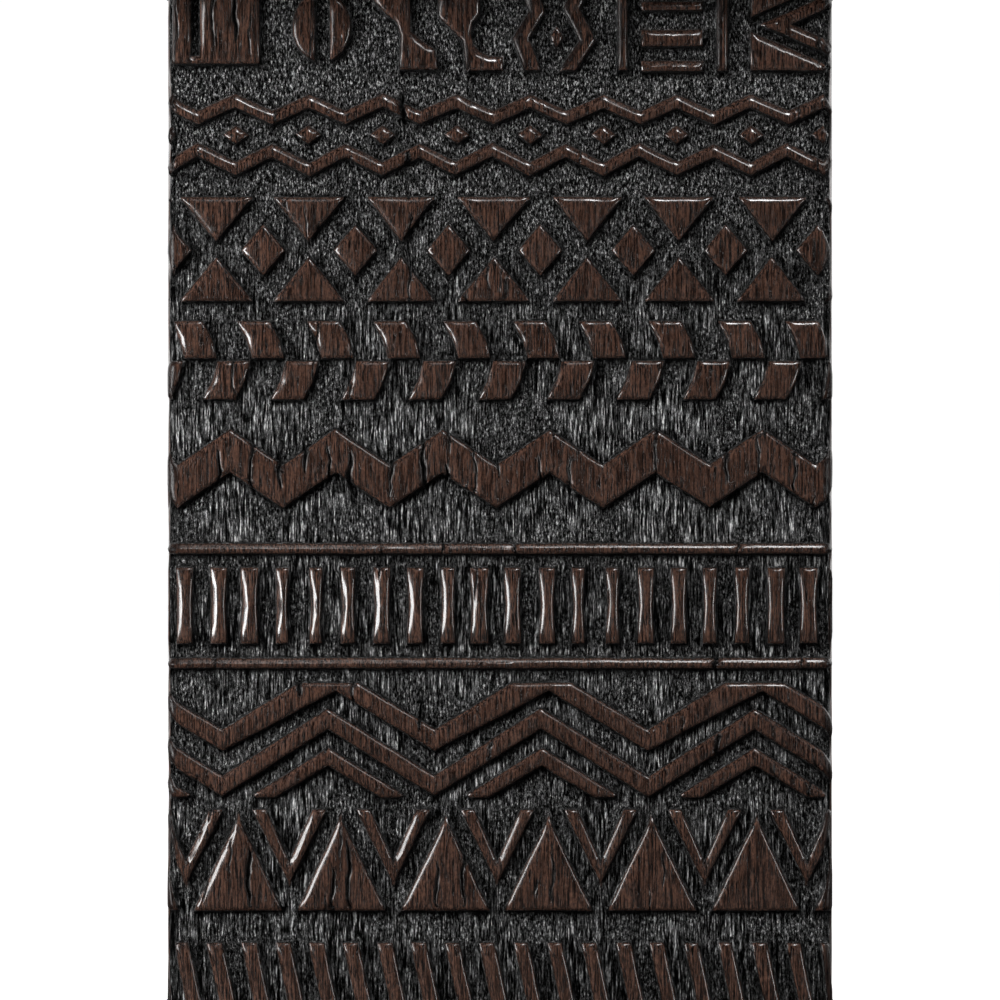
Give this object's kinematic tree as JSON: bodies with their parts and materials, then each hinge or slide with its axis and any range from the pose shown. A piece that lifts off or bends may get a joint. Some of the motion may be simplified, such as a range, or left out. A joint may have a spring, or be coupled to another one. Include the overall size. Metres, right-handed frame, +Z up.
{
  "type": "headrest",
  "caption": "Carved wooden neck rest: a block column in low relief between a sloped base and a curved cradle, held by wedged and pegged tenons.",
  "frame": {"origin": "centre of the bounding box at the underside of the base", "axes": "+Z up, +Y towards the back, so the face seen in the picture looks towards -Y; +X to the right of that face"},
  "size_m": [0.1628, 0.073, 0.1825],
  "materials": {
    "carved_wood": "dark stain, satin on the tops, rough blackened ground",
    "base_wood": "dark stained satin",
    "plinth_wood": "dark stained satin",
    "abacus_wood": "dark stained satin",
    "cradle_wood": "dark stain worn brown and glossy on the seat",
    "wedge_wood": "brown end grain",
    "peg_wood": "brown end grain"
  },
  "bodies": {
    "root": {"carved_column": "carved_wood", "base": "base_wood", "plinth": "plinth_wood", "abacus": "abacus_wood", "cradle": "cradle_wood", "lower_wedge_left": "wedge_wood", "lower_wedge_right": "wedge_wood", "upper_wedge_left": "wedge_wood", "upper_wedge_right": "wedge_wood", "base_peg_left": "peg_wood", "base_peg_right": "peg_wood", "cradle_peg_left": "peg_wood", "cradle_peg_right": "peg_wood"}
  },
  "joints": []
}
